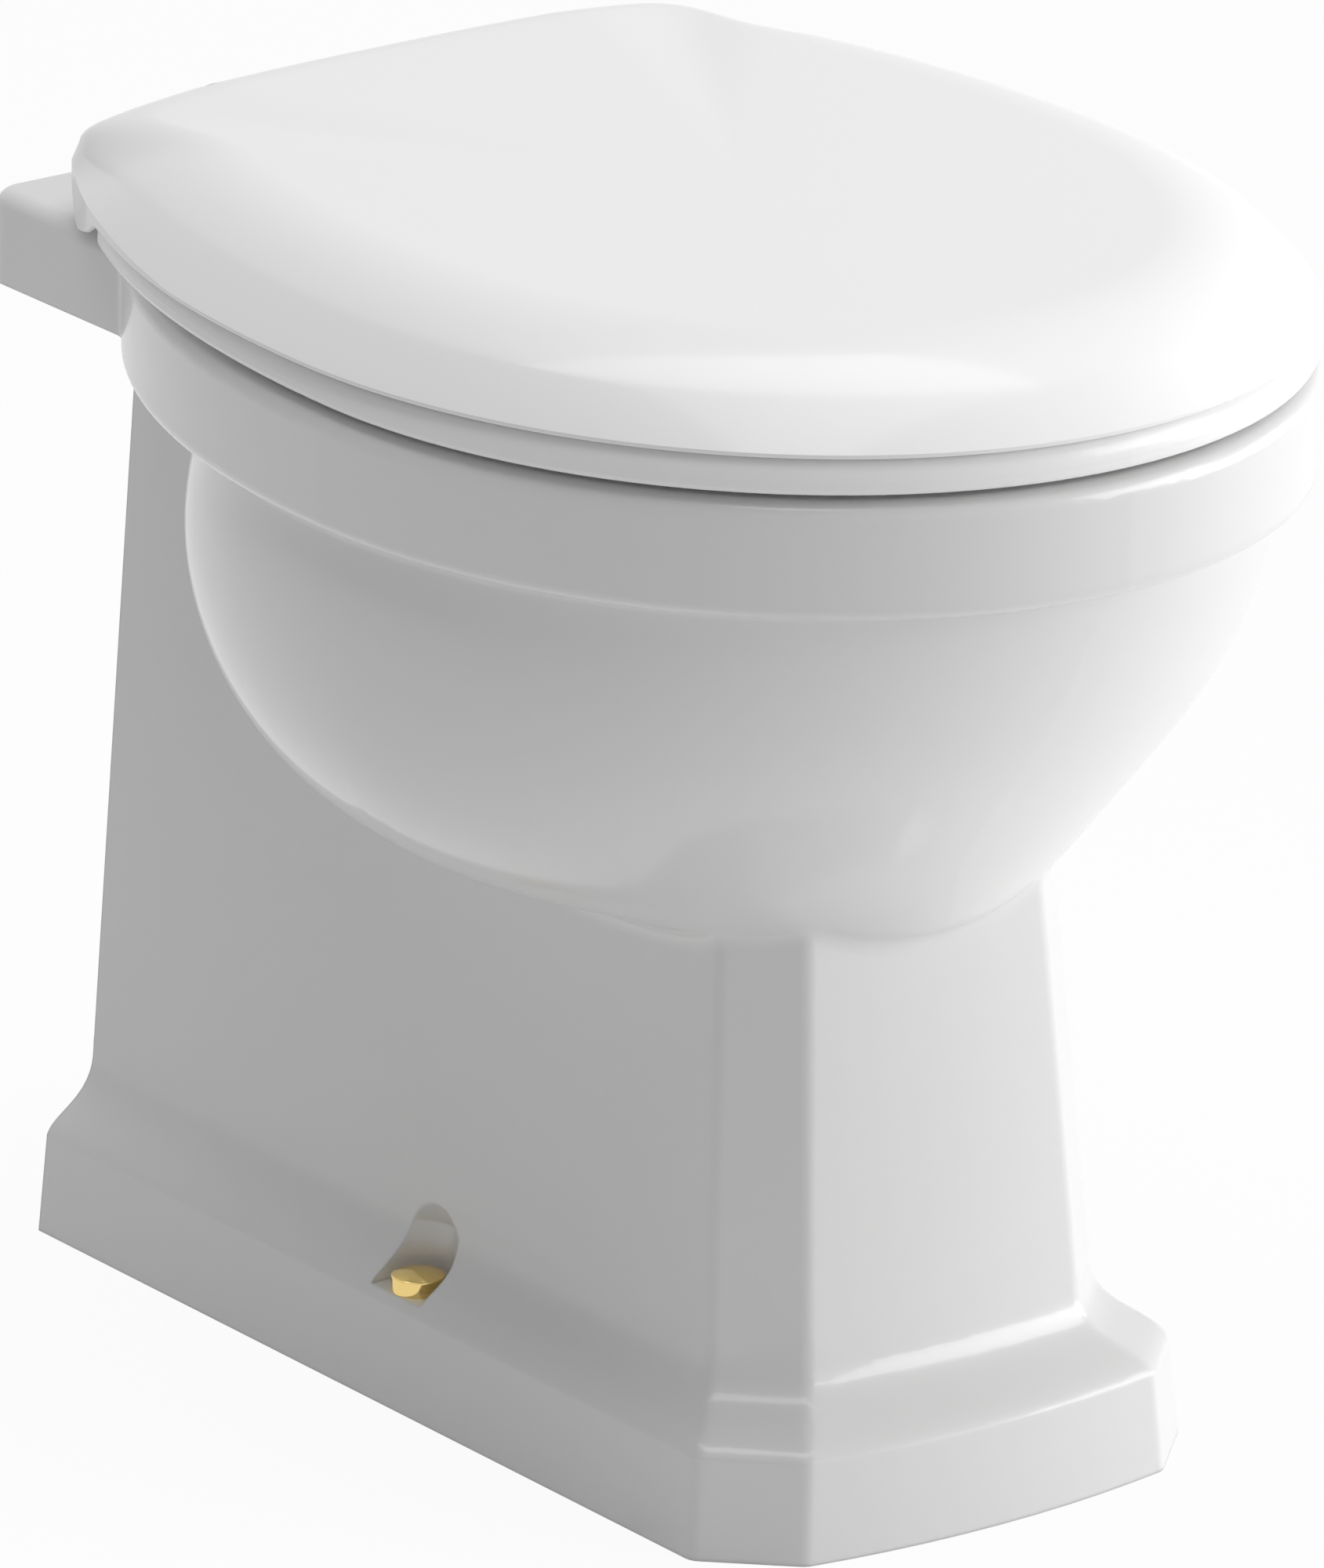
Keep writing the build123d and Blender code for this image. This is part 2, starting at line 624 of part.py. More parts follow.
# Lid knuckles, bosses for the buffers and slots for the posts
lid_knuckle_start = post_high + side_gap
web = block(
    lid_knuckle_start,
    lid_knuckle_end,
    -hinge_y - knuckle_radius,
    knuckle_radius - hinge_y,
    hinge_z,
    hinge_z + overrun,
)
lid += both(across(knuckle_radius, lid_knuckle_start, lid_knuckle_end) + (web & lid_outside))
lid_buffer_places = [(lid_half_width * share, y) for share, y in zip(lid_buffer_shares, lid_buffer_depths)]
lid_buffer_top = seat_top + lid_buffer_height
for x, y in lid_buffer_places:
    lid += both(post(x, -y, lid_boss_radius, lid_buffer_top, hinge_z + overrun) & lid_outside)
lid -= both(across(bush_radius + seat_gap, post_low, lid_knuckle_end + overrun))
for x, y in lid_buffer_places:
    lid -= both(post(x, -y, buffer_plug_radius + sleeve_gap, 0, lid_buffer_top + buffer_plug_depth))
slot_low = post_low - lid_slot_gap
slot_high = post_high + side_gap
lid -= both(block(slot_low, slot_high, -lid_slot_front, 0, 0, hinge_z + overrun))
save("lid", lid)
lid_plug_end = lid_buffer_top + buffer_plug_depth - sleeve_gap
pads = [both(buffer(x, y, seat_top, lid_buffer_top, lid_plug_end)) for x, y in lid_buffer_places]
save("lid_buffers", pads[0] + pads[1])
lid_bush = across(bush_radius, lid_knuckle_start, lid_knuckle_end)
lid_bush -= across(pin_radius + running_fit, 0, lid_knuckle_end)
save("lid_damper", lid_bush)
save("lid_hinge_bush", mirror(lid_bush, about=Plane.YZ))
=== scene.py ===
# %% [markdown]
# This notebook dresses a back-to-wall toilet. The imported model comes first and is a fixed frame: it says
# where every piece is, in metres, with the floor at z = 0 and the wall at the largest y. Everything made
# here is placed in that frame. Some shapes of the lid, the two whites and the lamps were set against
# one photograph, and the notes below say where.

# %% Load the frame
import json

import bmesh
import bpy
import numpy as np
from mathutils import Matrix, Vector


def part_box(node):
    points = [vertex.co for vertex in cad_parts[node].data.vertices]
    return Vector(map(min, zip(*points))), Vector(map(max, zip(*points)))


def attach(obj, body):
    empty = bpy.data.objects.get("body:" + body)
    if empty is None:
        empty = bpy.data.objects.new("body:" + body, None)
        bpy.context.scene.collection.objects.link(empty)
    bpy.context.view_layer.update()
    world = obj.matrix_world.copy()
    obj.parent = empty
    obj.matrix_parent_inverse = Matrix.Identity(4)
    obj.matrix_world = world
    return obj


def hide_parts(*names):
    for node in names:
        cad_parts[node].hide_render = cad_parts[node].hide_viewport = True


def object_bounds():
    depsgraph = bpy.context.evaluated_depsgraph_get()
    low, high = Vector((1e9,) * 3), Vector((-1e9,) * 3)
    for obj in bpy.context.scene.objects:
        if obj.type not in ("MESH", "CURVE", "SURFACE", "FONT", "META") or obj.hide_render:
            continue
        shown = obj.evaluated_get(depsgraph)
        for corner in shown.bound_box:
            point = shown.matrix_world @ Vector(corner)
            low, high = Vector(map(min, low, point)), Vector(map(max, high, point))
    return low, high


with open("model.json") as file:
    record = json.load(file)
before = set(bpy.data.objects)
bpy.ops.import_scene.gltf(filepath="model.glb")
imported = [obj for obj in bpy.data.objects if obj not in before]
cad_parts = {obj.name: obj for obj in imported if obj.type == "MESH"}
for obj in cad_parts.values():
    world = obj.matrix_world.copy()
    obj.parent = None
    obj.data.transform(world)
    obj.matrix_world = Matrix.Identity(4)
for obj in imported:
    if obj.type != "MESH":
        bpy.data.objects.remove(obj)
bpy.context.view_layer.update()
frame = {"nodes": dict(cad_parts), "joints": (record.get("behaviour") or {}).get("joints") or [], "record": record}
MM = 0.001
print("frame pieces:", len(frame["nodes"]))

# %% [markdown]
# A few lengths drive everything below. The depth gives the wall, since the frame's middle is at y = 0, and
# the record gives the hinge line. Lengths are written in millimetres, as a maker would say them.

# %% Driving lengths
wall_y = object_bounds()[1].y / MM
hinge = next(joint for joint in frame["joints"] if joint["name"] == "seat_hinge")
hinge_y, hinge_z = hinge["pos_m"][1] / MM, hinge["pos_m"][2] / MM
lid_low, lid_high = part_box("lid")
lid_top = lid_high.z / MM
print("wall at", round(wall_y, 1), "lid top", round(lid_top, 1))
print("hinge line at", round(hinge_y, 1), round(hinge_z, 1))

# %% [markdown]
# Finishes come from small node trees. Glazed fireclay is a white body under a thin layer of glass: a clear,
# very smooth coat over a soft white, with the faint orange-peel that a sprayed glaze keeps. The bump is far
# too fine to change the outline, and it is only there to break up the reflections. Object coordinates keep
# the pattern in place when a piece turns on its hinge. The two whites are darker than real ware: they were
# lowered until the greys came near the photograph's under the lamps below.

# %% A helper for plain shader nodes


def new_finish(name, colour, roughness, metallic=0.0, coat=0.0, coat_roughness=0.03, ior=1.5):
    """A Principled finish with constant sockets; returns the material and its main node."""
    finish = bpy.data.materials.new(name)
    finish.use_nodes = True
    main = finish.node_tree.nodes["Principled BSDF"]
    main.inputs["Base Color"].default_value = (*colour, 1.0)
    main.inputs["Roughness"].default_value = roughness
    main.inputs["Metallic"].default_value = metallic
    main.inputs["Coat Weight"].default_value = coat
    main.inputs["Coat Roughness"].default_value = coat_roughness
    main.inputs["IOR"].default_value = ior
    return finish, main


def grain(finish, main, scale, depth, detail=3.0, stretch=(1.0, 1.0, 1.0), spread=None, edge=0.0):
    """Fine noise on Object coordinates: height into the normal and, if asked, a share of it into roughness.
    An edge radius lets light run round sharp edges, as a glaze pools over them."""
    tree = finish.node_tree
    place = tree.nodes.new("ShaderNodeTexCoord")
    turn = tree.nodes.new("ShaderNodeMapping")
    turn.inputs["Scale"].default_value = stretch
    noise = tree.nodes.new("ShaderNodeTexNoise")
    noise.inputs["Scale"].default_value = scale
    noise.inputs["Detail"].default_value = detail
    bump = tree.nodes.new("ShaderNodeBump")
    bump.inputs["Strength"].default_value = 1.0
    bump.inputs["Distance"].default_value = depth
    tree.links.new(place.outputs["Object"], turn.inputs["Vector"])
    tree.links.new(turn.outputs["Vector"], noise.inputs["Vector"])
    tree.links.new(noise.outputs["Fac"], bump.inputs["Height"])
    tree.links.new(bump.outputs["Normal"], main.inputs["Normal"])
    if edge:
        rounded = tree.nodes.new("ShaderNodeBevel")
        rounded.samples = 6
        rounded.inputs["Radius"].default_value = edge
        tree.links.new(rounded.outputs["Normal"], bump.inputs["Normal"])
    if spread:
        rough = tree.nodes.new("ShaderNodeMapRange")
        rough.inputs["To Min"].default_value = spread[0]
        rough.inputs["To Max"].default_value = spread[1]
        tree.links.new(noise.outputs["Fac"], rough.inputs["Value"])
        tree.links.new(rough.outputs["Result"], main.inputs["Roughness"])


# %% Finishes
glaze, glaze_main = new_finish("white_glaze", (0.745, 0.745, 0.743), 0.3, coat=0.5, coat_roughness=0.06)
grain(glaze, glaze_main, 60.0, 0.00004, spread=(0.26, 0.34), edge=0.0025)
seat_colour = (0.88, 0.88, 0.878)
seat_white, seat_main = new_finish("white_seat_lacquer", seat_colour, 0.34, coat=0.3, coat_roughness=0.08)
grain(seat_white, seat_main, 90.0, 0.00002, spread=(0.3, 0.38))
brass, brass_main = new_finish("polished_brass", (0.83, 0.62, 0.24), 0.12, metallic=1.0)
grain(brass, brass_main, 900.0, 0.00001, spread=(0.08, 0.18))
steel, steel_main = new_finish("brushed_steel", (0.62, 0.62, 0.63), 0.28, metallic=1.0)
grain(steel, steel_main, 500.0, 0.00002, stretch=(0.05, 1.0, 1.0), spread=(0.2, 0.38))
nylon, nylon_main = new_finish("satin_nylon", (0.78, 0.77, 0.74), 0.5)
grain(nylon, nylon_main, 700.0, 0.00002, spread=(0.42, 0.58))
soft_rubber, rubber_main = new_finish("grey_rubber", (0.66, 0.66, 0.64), 0.7)
grain(soft_rubber, rubber_main, 900.0, 0.00003, spread=(0.62, 0.8))
FINISHES = {
    "glaze": glaze,
    "seat_plastic": seat_white,
    "gold": brass,
    "steel": steel,
    "nylon": nylon,
    "rubber": soft_rubber,
}
print("finishes:", len(FINISHES))

# %% [markdown]
# Every CAD piece that stays visible takes the finish of the slot that the record names for it. Only the slots
# come from the record. The colours are this notebook's own and differ from the record's.

# %% Dress the CAD pieces
for part in frame["record"]["subparts"]:
    piece = frame["nodes"][part["node"]]
    piece.data.materials.clear()
    piece.data.materials.append(FINISHES[part["material_slot"]])

# %% [markdown]
# The lid's plan is a blunt half oval in front, a long half oval behind and a straight cut at the back. It
# could be drawn as a curve, but as a distance from a centre for every angle it becomes one formula that whole
# arrays can use. A power mean of the oval and the straight cut rounds the two back corners without a second
# curve.

# %% Plan of the lid as a distance for every angle
CORNER_POWER = 124.0


def outline_reach(angle, half_width, front, rear, back_line):
    """Reach r(angle): the oval is 1 / root((cos/half_width)^2 + (sin/depth)^2), the cut is back_line / sin,
    and oval (1 + (oval/cut)^p)^(-1/p) is nearly the smaller of the two, with a soft corner."""
    across, along = np.cos(angle), np.sin(angle)
    oval = 1.0 / np.sqrt((across / half_width) ** 2 + (along / np.where(along < 0, front, rear)) ** 2)
    over = oval * np.maximum(along, 0.0) / back_line
    return oval * (1.0 + over**CORNER_POWER) ** (-1.0 / CORNER_POWER)


def even_turn(count, corners, crowding=3.0, width=0.12):
    """Angles of one full turn, denser near the corners: the inverse of a summed density of bell curves."""
    fine = np.linspace(0.0, 2 * np.pi, 4001)
    density = 1.0 + crowding * sum(np.exp(-(((fine - corner) / width) ** 2)) for corner in corners)
    travelled = np.concatenate([[0.0], np.cumsum((density[1:] + density[:-1]) / 2)])
    return np.interp(np.arange(count) / count, travelled / travelled[-1], fine)


# %% From a grid of points to a finished piece
def surface(name, grid, **fittings):
    """A mesh from points (rows, columns, 3) in millimetres. Face (i, j) joins (i, j), (i, j+1), (i+1, j+1)
    and (i+1, j), with columns counted round a ring; a row of equal points closes an end."""
    index = np.arange(grid.shape[0] * grid.shape[1]).reshape(grid.shape[:2])
    beside = np.roll(index, -1, axis=1)
    faces = np.stack([index[:-1], beside[:-1], beside[1:], index[1:]], axis=-1).reshape(-1, 4)
    mesh = bpy.data.meshes.new(name)
    mesh.from_pydata((grid.reshape(-1, 3) * MM).tolist(), [], faces.tolist())
    piece = bpy.data.objects.new(name, mesh)
    bpy.context.scene.collection.objects.link(piece)
    tidy_mesh(mesh)
    if fittings:
        dress(piece, **fittings)
    return piece


def tidy_mesh(mesh, sharp_angle=38.0):
    """Merges doubled points, turns faces outwards and keeps edges sharper than the angle crisp."""
    work = bmesh.new()
    work.from_mesh(mesh)
    bmesh.ops.remove_doubles(work, verts=work.verts, dist=0.000002)
    bmesh.ops.dissolve_degenerate(work, dist=0.000001, edges=work.edges)
    bmesh.ops.recalc_face_normals(work, faces=work.faces)
    work.to_mesh(mesh)
    work.free()
    mesh.shade_smooth()
    mesh.set_sharp_from_angle(angle=float(np.radians(sharp_angle)))


def dress(piece, body, finish, slot, replaces):
    """Gives a piece its finish and the body it rides on, and hides the CAD pieces it stands for; the slot is not
    used.
    """
    piece.data.materials.clear()
    piece.data.materials.append(finish)
    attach(piece, body)
    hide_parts(*replaces)


# %% [markdown]
# The lid is a moulded shell about four millimetres thick: a straight bevel rises from the lip, and a low dome
# sits on it with a slight break between them. The height is a function of the inset alone, that is, of how
# far a point lies in from the plan's edge. Written as a softened table, it gives the dome, the break and the
# bevel together, and the inside is the same kind of function a wall lower.

# %% Height of the lid over its inset
LID_HALF, LID_FRONT, LID_REAR = lid_high.x / MM, 218.5, 314.0
LID_CENTRE = lid_low.y / MM + LID_FRONT
LID_BACK = lid_high.y / MM - LID_CENTRE
LIP_Z, LID_WALL, LIP_WALL, LIP_ROUND = lid_top - 31.0, 4.0, 3.0, 1.0
BEVEL_IN, BEVEL_LOW, BEVEL_RISE, BEVEL_BULGE = 16.0, lid_top - 29.3, 15.9, 0.35
DOME_RUN, DOME_RADIUS, DOME_START, BACK_RUN, CROWN = 40.0, 73.3, 0.97, 31.0, 0.9


def dome_height(inset, break_in, top):
    """Part of a circle: z = top - (root(R^2 - s0^2) - root(R^2 - s^2)), s counted from the crown's edge."""
    along = DOME_START + np.clip(break_in + DOME_RUN - inset, 0.0, DOME_RUN)
    return top - (np.sqrt(DOME_RADIUS**2 - DOME_START**2) - np.sqrt(DOME_RADIUS**2 - along**2))


def bevel_height(inset, start, end, low, high):
    """A nearly straight rise: z = low + (high - low) t + 4 bulge t (1 - t), t from start to end."""
    share = np.clip((inset - start) / (end - start), 0.0, 1.0)
    return low + (high - low) * share + 4 * BEVEL_BULGE * share * (1 - share)


def softened(values, step, blur):
    """Each value becomes the bell-weighted mean of its neighbours; the ends keep their place."""
    reach = int(3 * blur / step)
    weights = np.exp(-0.5 * (np.arange(-reach, reach + 1) * step / blur) ** 2)
    padded = np.concatenate([2 * values[0] - values[reach:0:-1], values, np.full(reach, values[-1])])
    return np.convolve(padded, weights / weights.sum(), "valid")


table_in = np.arange(0.0, BEVEL_IN + DOME_RUN + 0.05, 0.1)
break_z = float(dome_height(BEVEL_IN, BEVEL_IN, lid_top - CROWN))
table_z = np.where(
    table_in < BEVEL_IN,
    bevel_height(table_in, 0.0, BEVEL_IN, BEVEL_LOW, break_z),
    dome_height(table_in, BEVEL_IN, lid_top - CROWN),
)
table_z = softened(table_z, 0.1, 0.8)
under_in = BEVEL_IN + LID_WALL
under_table_in = np.arange(LIP_WALL, under_in + DOME_RUN + 0.05, 0.1)
under_break_z = float(dome_height(under_in, under_in, lid_top - LID_WALL))
under_table_z = np.where(
    under_table_in < under_in,
    bevel_height(under_table_in, LIP_WALL, under_in, LIP_Z + 1.5, under_break_z),
    dome_height(under_table_in, under_in, lid_top - LID_WALL),
)
under_table_z = softened(under_table_z, 0.1, 1.5)
print("break between bevel and dome at", round(break_z, 2), "mm, inside at", round(under_break_z, 2), "mm")

# %% [markdown]
# Towards the wall the bevel is trimmed by an upright side, and that side reaches down next to the deck like a
# small ear, which hides the hinge line. So each place round the plan has its own trim and its own drop, both
# matched to the photograph over the distance from the wall. The profile is then laid out row by row
# between these limits, and one row always runs exactly along the crisp line.
#
# At the two back corners the profile is drawn in, so the corner looks fuller, and the whole corner sinks a
# few millimetres. Rings further in have their corners rounded, or a hip line would run up from each corner.
# These amounts were set one by one, and the right back edge still stands two to five millimetres too full.

# %% Lid shell
CORNER_X, EAR_START, LEAST_FULLNESS, CORNER_SINK = 131.0, 106.0, 0.3, 6.0
corner_turn = float(np.arctan2(LID_BACK, CORNER_X))
turn_grid = even_turn(420, corners=(corner_turn, np.pi - corner_turn))
plan = outline_reach(turn_grid, LID_HALF, LID_FRONT, LID_REAR, LID_BACK)
plan_x, plan_back = plan * np.cos(turn_grid), wall_y - (plan * np.sin(turn_grid) + LID_CENTRE)


def smooth_step(value, start, end):
    """0 before start, 1 after end, and 3t^2 - 2t^3 between them."""
    share = np.clip((value - start) / (end - start), 0.0, 1.0)
    return share * share * (3 - 2 * share)


trim_places = (45.0, 55.0, 70.0, 90.0, 110.0, 125.0, 150.0, 180.0)
trim = np.interp(plan_back, trim_places, (5.0, 5.0, 4.0, 3.0, 2.5, 2.0, 1.0, 0.0))
ear = np.interp(plan_back, (45.0, 50.0, 58.0, 68.0, 82.0, 95.0, 100.0), (0.0, 7.0, 12.0, 12.0, 8.0, 2.0, 0.0))
tail = 4.0 * smooth_step(np.abs(plan_x), 52.0, 49.5) * (plan_back < 60.0)
lip_low = LIP_Z - ear * (np.abs(plan_x) > EAR_START) - tail
fullness = LEAST_FULLNESS + (1.0 - LEAST_FULLNESS) * smooth_step(plan_back, 45.0, 85.0)


def span(start, end, count, last=False):
    """Rows that run evenly from one value per column to another; the last row is left to the next span."""
    share = np.linspace(0.0, 1.0, count, endpoint=last)[:, None]
    start, end = np.broadcast_to(start, turn_grid.shape), np.broadcast_to(end, turn_grid.shape)
    return start * (1 - share) + end * share


def corner_arc(inset, height, from_angle, to_angle, count=6):
    """Rows round a small corner: centre + round (cos, sin)."""
    angle = np.radians(np.linspace(from_angle, to_angle, count, endpoint=False))[:, None]
    return inset + LIP_ROUND * np.cos(angle), height + LIP_ROUND * np.sin(angle)


def drawn_in(rows, edge):
    """Insets pulled towards an edge: edge + (inset - edge) times the fullness of that place."""
    return edge + (rows - edge) * fullness


dome_in = span(BEVEL_IN + DOME_RUN, BEVEL_IN, 44)
bevel_in = span(BEVEL_IN, trim, 22)
edge_z = np.interp(trim, table_in, table_z)
side_in, side_z = span(trim, trim, 7), span(edge_z, lip_low + LIP_ROUND, 7)
outer_in, outer_z = corner_arc(trim + LIP_ROUND, lip_low + LIP_ROUND, 180.0, 270.0)
foot_in, foot_z = span(trim + LIP_ROUND, trim + LIP_WALL - LIP_ROUND, 2), span(lip_low, lip_low, 2)
inner_in, inner_z = corner_arc(trim + LIP_WALL - LIP_ROUND, lip_low + LIP_ROUND, 270.0, 360.0)
under_edge = trim + LIP_WALL
under_edge_z = np.interp(under_edge, under_table_in, under_table_z)
lining_in, lining_z = span(under_edge, under_edge, 4), span(lip_low + LIP_ROUND, under_edge_z, 4)
under_bevel_in = span(under_edge, under_in, 16)
under_dome_in = span(under_in, under_in + DOME_RUN, 30, last=True)
lip_rows = [side_in, outer_in, foot_in, inner_in, lining_in]
full_in = np.concatenate([dome_in, bevel_in, *lip_rows, under_bevel_in, under_dome_in])
inset = np.concatenate(
    [
        drawn_in(dome_in, trim),
        drawn_in(bevel_in, trim),
        *lip_rows,
        drawn_in(under_bevel_in, under_edge),
        drawn_in(under_dome_in, under_edge),
    ]
)
height = np.concatenate(
    [
        np.interp(np.concatenate([dome_in, bevel_in]), table_in, table_z),
        side_z,
        outer_z,
        foot_z,
        inner_z,
        lining_z,
        np.interp(np.concatenate([under_bevel_in, under_dome_in]), under_table_in, under_table_z),
    ]
)
outer_rows = len(dome_in) + len(bevel_in) + len(side_in)
row = np.arange(len(inset))[:, None]
under_start = len(inset) - len(under_dome_in) - len(under_bevel_in)
back_in = np.where(
    row < outer_rows,
    np.maximum(full_in - BEVEL_IN, 0.0) * BACK_RUN / DOME_RUN,
    np.where(
        row < under_start,
        np.clip(inset - trim, 0.0, LIP_WALL) * LID_WALL / LIP_WALL,
        LID_WALL + np.maximum(full_in - under_in, 0.0) * BACK_RUN / DOME_RUN,
    ),
)
rear_in, straight_in = LID_REAR - inset, LID_BACK - back_in
reach = outline_reach(turn_grid[None, :], LID_HALF - inset, LID_FRONT - inset, rear_in, straight_in)


def rounded_rings(rings, columns):
    """Rings with rounded corners: each point becomes a mean of its ring, weighted exp(-(s/columns)^2/2)."""
    count = rings.shape[1]
    fading = np.exp(-2.0 * (np.pi * columns * np.fft.rfftfreq(count)) ** 2)
    return np.fft.irfft(np.fft.rfft(rings, axis=1) * fading, count, axis=1)


deep = np.where(row < outer_rows, full_in - BEVEL_IN, np.where(row < under_start, 0.0, full_in - under_in))
roundness = smooth_step(deep, 0.0, 0.8 * DOME_RUN)
reach = (1.0 - roundness) * reach + roundness * rounded_rings(reach, reach.shape[1] / 45.0)
x = reach * np.cos(turn_grid)
y = reach * np.sin(turn_grid) + LID_CENTRE
corner_sink = CORNER_SINK * smooth_step(np.abs(x), 70.0, 145.0) * (1.0 - smooth_step(wall_y - y, 45.0, 140.0))
height = height - corner_sink * np.clip((height - LIP_Z - 3.5) / 12.0, 0.0, 1.0)


def crown_rows(ring_x, ring_y, ring_z, middle_z, shares):
    """Rings that shrink to the middle: place = middle + share (edge - middle), height with share^2."""
    scale = shares[:, None]
    ring_height = middle_z + (ring_z - middle_z) * scale**2
    return np.stack([scale * ring_x, LID_CENTRE + scale * (ring_y - LID_CENTRE), ring_height], axis=-1)


shares = np.linspace(0.0, 1.0, 15)[:-1]
crown = crown_rows(x[0], y[0], height[0], lid_top, shares)
ceiling = crown_rows(x[-1], y[-1], height[-1], float(height[-1].mean()), shares[::-1])
lid_grid = np.concatenate([crown, np.stack([x, y, height], axis=-1), ceiling])
LID_FITTINGS = dict(body="lid", finish=seat_white, slot="seat_plastic", replaces=["lid"])
lid_shell = surface("lid_shell", lid_grid, **LID_FITTINGS)
print("lid shell:", lid_grid.shape[0] * lid_grid.shape[1], "points")

# %% [markdown]
# The shell is opened at the back so that it can turn past the two steel posts: a window behind each post, a
# narrow slot for the post itself and a round groove along the hinge line. Boolean modifiers cut these with
# plain closed tools, and the result is kept as the mesh.

# %% Plain closed bodies
POST_LOW, POST_HIGH, WINDOW_START, SIDE_GAP = 75.0, 80.0, 48.5, 0.3
KNUCKLE_START, KNUCKLE_END, KNUCKLE_RADIUS, BUSH_BORE = POST_HIGH + SIDE_GAP, 106.0, 8.5, 6.05


def prism_grid(x_low, x_high, outline):
    """A flat outline (y, z) drawn out along x: a middle point, the outline twice and a middle point."""
    ring = np.array(outline)
    middle = np.repeat(ring.mean(axis=0)[None, :], len(ring), axis=0)
    rows = ((middle, x_low), (ring, x_low), (ring, x_high), (middle, x_high))
    return np.stack([np.column_stack([np.full(len(ring), place), flat]) for flat, place in rows])


def box_grid(x_low, x_high, y_low, y_high, z_low, z_high):
    """A box, as a prism over a rectangle."""
    return prism_grid(x_low, x_high, [(y_low, z_low), (y_high, z_low), (y_high, z_high), (y_low, z_high)])


def ring_grid(along, across, count=64):
    """A turned body round the hinge line: (x, hinge_y + r cos a, hinge_z + r sin a) for each (x, r)."""
    angle = np.arange(count) * 2 * np.pi / count
    along, across = np.array(along)[:, None], np.array(across)[:, None]
    return np.stack(
        [along + 0 * angle, hinge_y + across * np.cos(angle), hinge_z + across * np.sin(angle)], axis=-1
    )


def mirrored(grid):
    """The same grid on the other side: x changes its sign and the columns run backwards."""
    return (grid * np.array([-1.0, 1.0, 1.0]))[:, ::-1]


def cut(piece, tools):
    """Takes closed tools out of a piece with Boolean modifiers, keeps the result and removes the tools."""
    made = [surface(f"tool_{number}", tool) for number, tool in enumerate(tools)]
    for tool in made:
        modifier = piece.modifiers.new(tool.name, "BOOLEAN")
        modifier.operation = "DIFFERENCE"
        modifier.solver = "EXACT"
        modifier.object = tool
    bpy.context.view_layer.update()
    piece.data = bpy.data.meshes.new_from_object(piece.evaluated_get(bpy.context.evaluated_depsgraph_get()))
    piece.modifiers.clear()
    for tool in made:
        bpy.data.objects.remove(tool)
    tidy_mesh(piece.data)


# %% Openings of the lid
window = box_grid(WINDOW_START, KNUCKLE_START, wall_y - 51.0, wall_y, 380.0, hinge_z + 6.0)
slot_box = box_grid(POST_LOW - 0.4, KNUCKLE_START, wall_y - 63.0, wall_y, 380.0, lid_top + 5.0)
groove_reach = KNUCKLE_RADIUS + 0.4
groove = ring_grid((-POST_HIGH, -POST_HIGH, POST_HIGH, POST_HIGH), (0.0, groove_reach, groove_reach, 0.0))
cut(lid_shell, [window, mirrored(window), slot_box, mirrored(slot_box), groove])
lid_shell.data.name = "lid_shell"
print("lid faces after cutting:", len(lid_shell.data.polygons))

# %% [markdown]
# Two round knuckles hang from the lid and carry the nylon bushes. Each is a tube along the hinge line with a
# short web up into the shell, so the ends of the bushes stay visible. Four bosses under the lid hold the
# rubber buffers, and their tops follow the inside of the shell.

# %% Lid knuckles, webs and bosses
start, end, rim = KNUCKLE_START, KNUCKLE_END, KNUCKLE_RADIUS - 0.4
knuckle = ring_grid(
    (start, start, start + 0.4, end - 0.4, end, end, start),
    (BUSH_BORE, rim, KNUCKLE_RADIUS, KNUCKLE_RADIUS, rim, BUSH_BORE, BUSH_BORE),
)
web_outline = [(8.5, 0.0), (-8.5, 0.0), (-8.5, 12.5), (0.0, 9.0), (5.0, 5.0), (8.5, 2.5)]
web = prism_grid(start + 0.2, end - 0.2, [(hinge_y + out, hinge_z + up) for out, up in web_outline])
bore_tool = ring_grid((start - 1, start - 1, end + 1, end + 1), (0.0, BUSH_BORE, BUSH_BORE, 0.0))


def inset_at(place_x, place_y):
    """The inset whose outline runs through a place, found by halving: the plan shrinks as the inset grows."""
    turn, reach_here = np.arctan2(place_y - LID_CENTRE, place_x), np.hypot(place_x, place_y - LID_CENTRE)
    low_in, high_in = np.zeros_like(place_x), np.full_like(place_x, 100.0)
    for _ in range(30):
        middle_in = (low_in + high_in) / 2
        sizes = (LID_HALF - middle_in, LID_FRONT - middle_in, LID_REAR - middle_in, LID_BACK)
        wide = outline_reach(turn, *sizes) > reach_here
        low_in, high_in = np.where(wide, middle_in, low_in), np.where(wide, high_in, middle_in)
    return low_in


def boss_grid(place_x, from_wall, low_z, radius=9.0, plug=2.55, count=48):
    """A round boss with a plug hole; its top is one millimetre inside the shell, z = inside(inset) + 1."""
    angle = np.arange(count) * 2 * np.pi / count
    foot, wall = ((plug, "low"), (radius - 0.5, "low"), (radius, "soft")), ((radius, "top"), (plug, "top"))
    rings = []
    for reach_out, level in ((plug, "top"), *foot, *wall):
        ring_x, ring_y = place_x + reach_out * np.cos(angle), wall_y - from_wall + reach_out * np.sin(angle)
        top = np.interp(inset_at(np.abs(ring_x), ring_y), under_table_in, under_table_z) + 1.0
        ring_z = {"top": top, "low": np.full(count, low_z), "soft": np.full(count, low_z + 0.5)}[level]
        rings.append(np.column_stack([ring_x, ring_y, ring_z]))
    return np.stack(rings)


